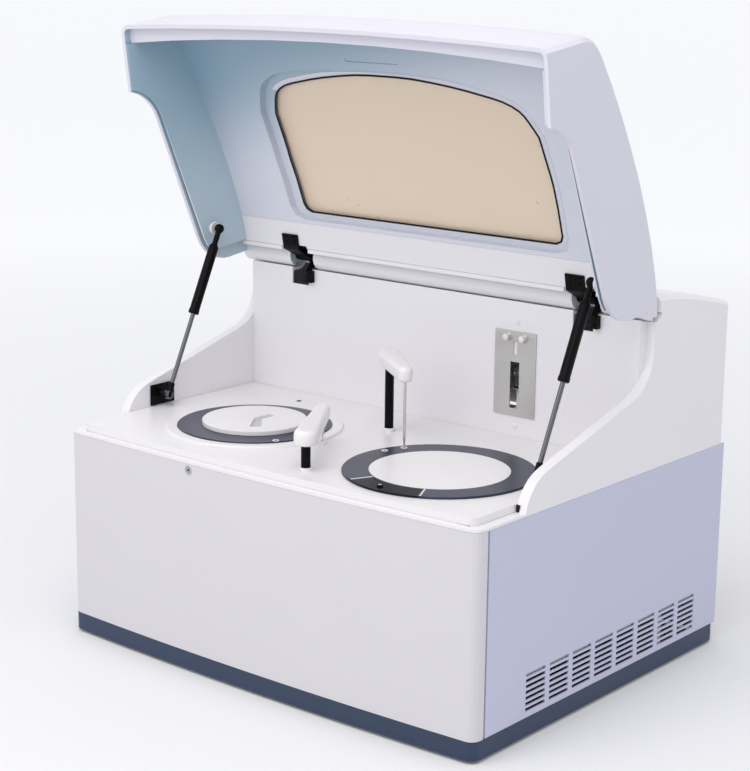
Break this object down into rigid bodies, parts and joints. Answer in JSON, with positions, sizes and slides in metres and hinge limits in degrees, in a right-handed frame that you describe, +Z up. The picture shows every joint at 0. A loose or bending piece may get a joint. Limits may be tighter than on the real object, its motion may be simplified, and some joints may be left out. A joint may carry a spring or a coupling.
{
  "type": "benchtop chemistry analyzer",
  "caption": "Benchtop chemistry analyzer with a windowed lid raised on gas struts over a white deck with disc wells and probe arms.",
  "frame": {"origin": "middle of the footprint on the bench", "axes": "+X right seen from the front, +Y to the back, +Z up; the lid is open at rest"},
  "size_m": [0.86, 0.7, 1.0501],
  "materials": {
    "cover_paint": "satin white powder coat",
    "housing_plastic": "satin white moulding",
    "liner_plastic": "matte pale blue grey moulding",
    "navy_plastic": "matte navy moulding",
    "navy_paint": "navy powder coat",
    "white_plastic": "smooth white moulding",
    "black_plastic": "matte black moulding",
    "black_steel": "black lacquered steel",
    "brushed_steel": "brushed stainless steel",
    "aluminium": "mill finish aluminium",
    "rubber": "black rubber",
    "tinted_pane": "lightly tinted clear pane",
    "clear_plastic": "clear barrel",
    "smoked_lens": "smoked lens",
    "board_green": "green board with small components"
  },
  "bodies": {
    "cabinet": {"base_plinth": "navy_paint", "chassis_frame": "aluminium", "front_panel": "cover_paint", "side_panel_left": "cover_paint", "side_panel_right": "cover_paint", "rear_panel": "cover_paint", "upper_housing": "housing_plastic", "deck_plate": "white_plastic", "indicator_lamp": "smoked_lens", "power_inlet": "black_plastic", "power_supply": "aluminium", "control_board": "board_green", "pump_unit": "aluminium", "photometer": "black_plastic", "sample_bowl": "black_plastic", "reaction_bath": "black_plastic", "sample_motor": "aluminium", "reaction_motor": "aluminium", "sample_belt": "rubber", "reaction_belt": "rubber", "reaction_cover": "navy_plastic", "reaction_centre_cover": "white_plastic", "sample_cover": "navy_plastic", "syringe_plate": "brushed_steel", "syringe_barrel": "clear_plastic", "foot_front_left": "rubber", "foot_front_right": "rubber", "foot_rear_left": "rubber", "foot_rear_right": "rubber", "hinge_bracket_left": "black_steel", "strut_bracket_left": "black_plastic", "hinge_bracket_right": "black_steel", "strut_bracket_right": "black_plastic"},
    "lid": {"lid_shell": "housing_plastic", "lid_liner": "liner_plastic", "window_pane": "tinted_pane", "window_gasket": "rubber", "hinge_arm_left": "black_steel", "hinge_arm_right": "black_steel"},
    "strut_rod_left": {"strut_rod_left": "brushed_steel"},
    "strut_rod_right": {"strut_rod_right": "brushed_steel"},
    "strut_cylinder_left": {"strut_cylinder_left": "black_steel"},
    "strut_cylinder_right": {"strut_cylinder_right": "black_steel"},
    "access_flap": {"access_flap": "black_plastic"},
    "sample_cap": {"sample_cap": "white_plastic"},
    "sample_carousel": {"sample_carousel": "white_plastic"},
    "sample_drive": {"sample_drive_pulley": "aluminium"},
    "reaction_carousel": {"reaction_carousel": "white_plastic"},
    "reaction_drive": {"reaction_drive_pulley": "aluminium"},
    "reagent_lift": {"reagent_lift_carriage": "aluminium"},
    "reagent_arm": {"reagent_arm_post": "black_steel", "reagent_arm_cover": "white_plastic", "reagent_probe": "brushed_steel"},
    "sample_lift": {"sample_lift_carriage": "aluminium"},
    "sample_arm": {"sample_arm_post": "black_steel", "sample_arm_cover": "white_plastic", "sample_probe": "brushed_steel"},
    "syringe_plunger": {"syringe_plunger": "white_plastic"},
    "fan": {"fan_rotor": "black_plastic"},
    "power_rocker": {"power_rocker": "black_plastic"}
  },
  "joints": [
    {"name": "lid_hinge", "type": "hinge", "parent": "cabinet", "child": "lid", "pos_m": [0, 0.1105, 0.617], "axis": [1, 0, 0], "range_deg": [0, 81.8]},
    {"name": "strut_swing_left", "type": "hinge", "parent": "cabinet", "child": "strut_rod_left", "pos_m": [-0.3915, -0.145, 0.39], "axis": [1, 0, 0], "range_deg": [-34.7, 0]},
    {"name": "strut_slide_left", "type": "slide", "parent": "strut_rod_left", "child": "strut_cylinder_left", "axis": [0, 0.4236, 0.9058], "range_m": [-0.0897, 0]},
    {"name": "strut_swing_right", "type": "hinge", "parent": "cabinet", "child": "strut_rod_right", "pos_m": [0.3915, -0.145, 0.39], "axis": [1, 0, 0], "range_deg": [-34.7, 0]},
    {"name": "strut_slide_right", "type": "slide", "parent": "strut_rod_right", "child": "strut_cylinder_right", "axis": [0, 0.4236, 0.9058], "range_m": [-0.0897, 0]},
    {"name": "flap_hinge", "type": "hinge", "parent": "cabinet", "child": "access_flap", "pos_m": [0.16479, -0.28054, 0.3725], "axis": [-0.4226, -0.9063, 0], "range_deg": [0, 100]},
    {"name": "cap_lift", "type": "slide", "parent": "cabinet", "child": "sample_cap", "axis": [0, 0, 1], "range_m": [0, 0.12]},
    {"name": "sample_carousel_turn", "type": "hinge", "parent": "cabinet", "child": "sample_carousel", "pos_m": [-0.1832, -0.1462, 0.3], "axis": [0, 0, 1], "continuous": true},
    {"name": "sample_drive_turn", "type": "hinge", "parent": "cabinet", "child": "sample_drive", "pos_m": [-0.2312, -0.06306, 0.27], "axis": [0, 0, 1], "continuous": true},
    {"name": "reaction_carousel_turn", "type": "hinge", "parent": "cabinet", "child": "reaction_carousel", "pos_m": [0.221, -0.16, 0.3], "axis": [0, 0, 1], "continuous": true},
    {"name": "reaction_drive_turn", "type": "hinge", "parent": "cabinet", "child": "reaction_drive", "pos_m": [0.269, -0.07686, 0.27], "axis": [0, 0, 1], "continuous": true},
    {"name": "reagent_lift_slide", "type": "slide", "parent": "cabinet", "child": "reagent_lift", "axis": [0, 0, 1], "range_m": [-0.055, 0.015]},
    {"name": "reagent_arm_turn", "type": "hinge", "parent": "reagent_lift", "child": "reagent_arm", "pos_m": [0.003, -0.018, 0.25], "axis": [0, 0, 1], "range_deg": [-106.15, 0]},
    {"name": "sample_lift_slide", "type": "slide", "parent": "cabinet", "child": "sample_lift", "axis": [0, 0, 1], "range_m": [-0.03, 0.019]},
    {"name": "sample_arm_turn", "type": "hinge", "parent": "sample_lift", "child": "sample_arm", "pos_m": [0.064, -0.295, 0.25], "axis": [0, 0, 1], "range_deg": [-40.04, 26.75]},
    {"name": "plunger_slide", "type": "slide", "parent": "cabinet", "child": "syringe_plunger", "axis": [0, 0, 1], "range_m": [0, 0.023]},
    {"name": "fan_turn", "type": "hinge", "parent": "cabinet", "child": "fan", "pos_m": [0.25, 0.31, 0.18], "axis": [0, 1, 0], "continuous": true},
    {"name": "rocker_tilt", "type": "hinge", "parent": "cabinet", "child": "power_rocker", "pos_m": [-0.279, 0.3268, 0.081], "axis": [1, 0, 0], "range_deg": [0, 14]}
  ],
  "couplings": [
    {"joint": "sample_drive_turn", "follows": "sample_carousel_turn", "ratio": 2.8333},
    {"joint": "reaction_drive_turn", "follows": "reaction_carousel_turn", "ratio": 2.8333},
    {"joint": "strut_swing_left", "follows": "lid_hinge", "ratio": -0.42176},
    {"joint": "strut_slide_left", "follows": "lid_hinge", "m_per_rad": -0.06259},
    {"joint": "strut_swing_right", "follows": "lid_hinge", "ratio": -0.42176},
    {"joint": "strut_slide_right", "follows": "lid_hinge", "m_per_rad": -0.06259}
  ]
}
